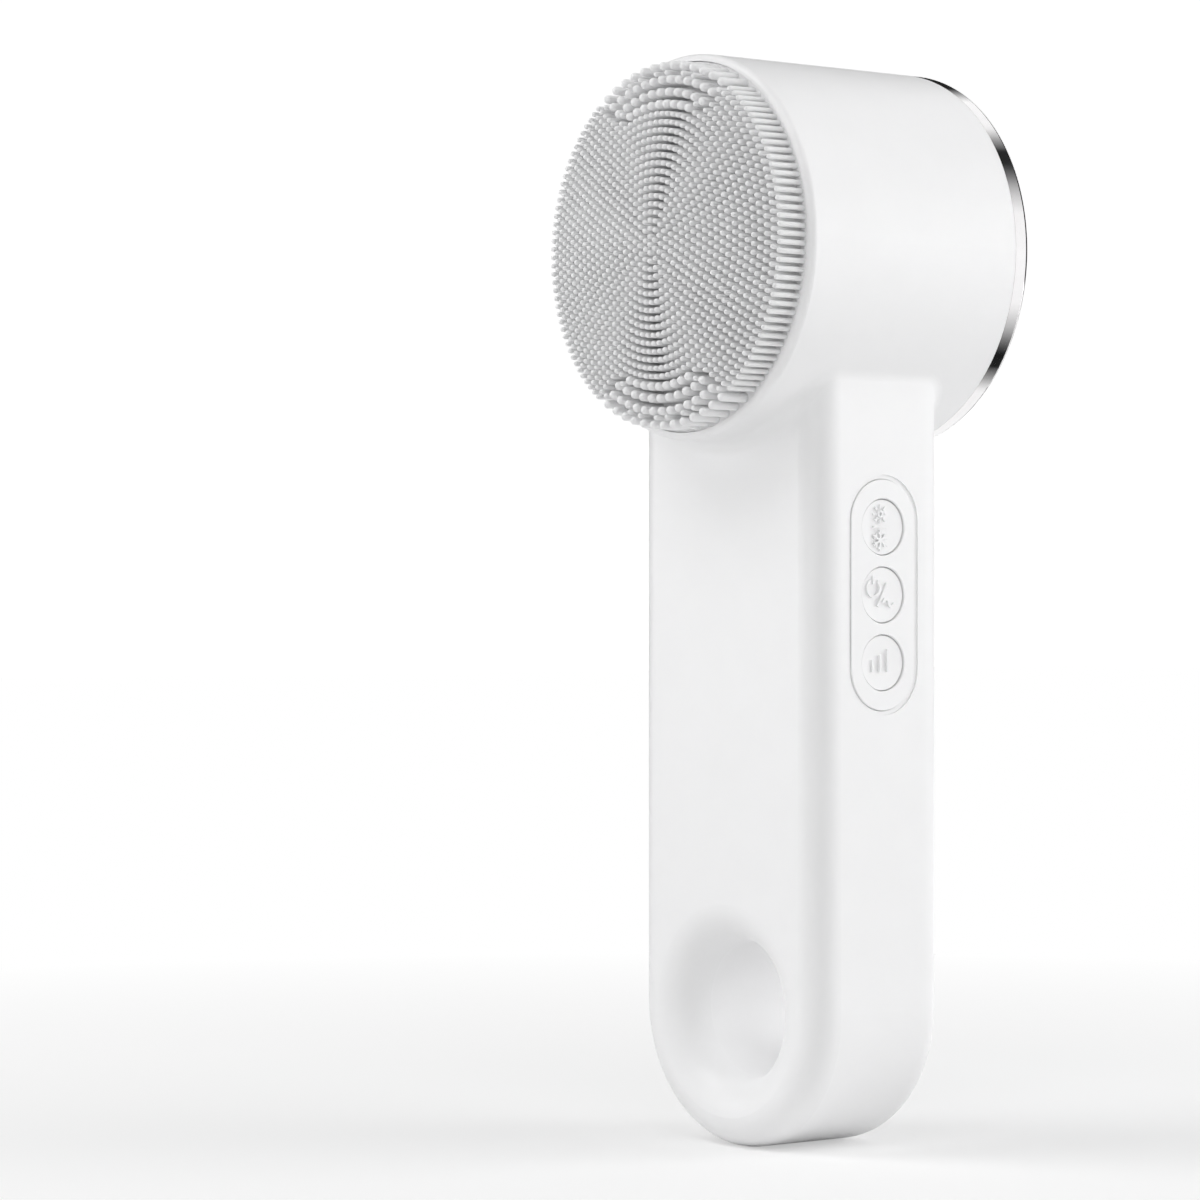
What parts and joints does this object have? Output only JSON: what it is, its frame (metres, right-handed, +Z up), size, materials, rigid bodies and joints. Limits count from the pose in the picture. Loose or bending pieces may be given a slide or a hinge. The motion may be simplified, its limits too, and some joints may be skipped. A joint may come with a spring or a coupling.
{
  "type": "skin scrubber",
  "caption": "Handheld skin scrubber: round head with a domed silicone bristle pad in front and a cooling and warming plate behind, on a flat handle with side buttons and a hanging hole.",
  "frame": {"origin": "middle of the base of the whole part's box, under the round lower end of the handle", "axes": "+Z up the handle to the head, -Y the way the bristles face, +Y the way the plate faces, +X to the button side"},
  "size_m": [0.058, 0.052, 0.1652],
  "materials": {
    "white_shell": "satin moulded white plastic, very fine texture",
    "button_white": "satin moulded white plastic, raised marks",
    "bezel_white": "glossy white plastic",
    "silicone_white": "soft white silicone, satin",
    "chrome_trim": "polished chrome plating",
    "plate_metal": "pale anodised, with a fine square grid",
    "light_diffuser": "lit blue light guide, cooling mode",
    "inner_plastic": "unpainted moulding",
    "seal_black": "smooth",
    "screw_steel": "zinc plated",
    "motor_steel": "drawn can",
    "weight_brass": "sintered",
    "sink_aluminium": "milled",
    "cell_sleeve": "blue heat-shrink sleeve over the can",
    "board_green": "solder mask",
    "chip_black": "moulded packages",
    "led_white": "clear lenses",
    "ceramic_white": "ceramic plates",
    "thermal_grey": "gap pad",
    "socket_steel": "bright nickel"
  },
  "bodies": {
    "housing": {"main_housing": "white_shell", "handle_back_cover": "white_shell", "brush_pad": "silicone_white", "brush_carrier": "inner_plastic", "brush_seal": "seal_black", "carrier_screws": "screw_steel", "vibration_motor": "motor_steel", "motor_bracket": "inner_plastic", "bracket_screws": "screw_steel", "massage_plate": "plate_metal", "light_ring": "light_diffuser", "rear_bezel": "bezel_white", "rear_seal": "seal_black", "chrome_ring": "chrome_trim", "module_frame": "inner_plastic", "led_board": "board_green", "leds": "led_white", "module_screws": "screw_steel", "heat_sink": "sink_aluminium", "peltier_cell": "ceramic_white", "sink_thermal_pad": "thermal_grey", "plate_thermal_pad": "thermal_grey", "temperature_sensor": "chip_black", "button_frame": "button_white", "tact_switches": "chip_black", "main_board": "board_green", "board_chips": "chip_black", "battery": "cell_sleeve", "chassis": "inner_plastic", "chassis_screws": "screw_steel", "charge_socket": "socket_steel", "charge_board": "board_green"},
    "heat_cool_key": {"heat_cool_button": "button_white"},
    "power_key": {"power_button": "button_white"},
    "level_key": {"level_button": "button_white"},
    "motor_rotor": {"motor_shaft": "motor_steel", "eccentric_weight": "weight_brass"},
    "charge_plug": {"port_plug": "silicone_white"}
  },
  "joints": [
    {"name": "heat_cool_press", "type": "slide", "parent": "housing", "child": "heat_cool_key", "axis": [-1, 0, 0], "range_m": [0, 0.0006], "stiffness_N_per_m": 2500},
    {"name": "power_press", "type": "slide", "parent": "housing", "child": "power_key", "axis": [-1, 0, 0], "range_m": [0, 0.0006], "stiffness_N_per_m": 2500},
    {"name": "level_press", "type": "slide", "parent": "housing", "child": "level_key", "axis": [-1, 0, 0], "range_m": [0, 0.0006], "stiffness_N_per_m": 2500},
    {"name": "motor_spin", "type": "hinge", "parent": "housing", "child": "motor_rotor", "pos_m": [0.01, -0.0035, 0.1362], "axis": [1, 0, 0], "continuous": true},
    {"name": "plug_pull", "type": "slide", "parent": "housing", "child": "charge_plug", "axis": [0, 0, -1], "range_m": [0, 0.009]}
  ]
}
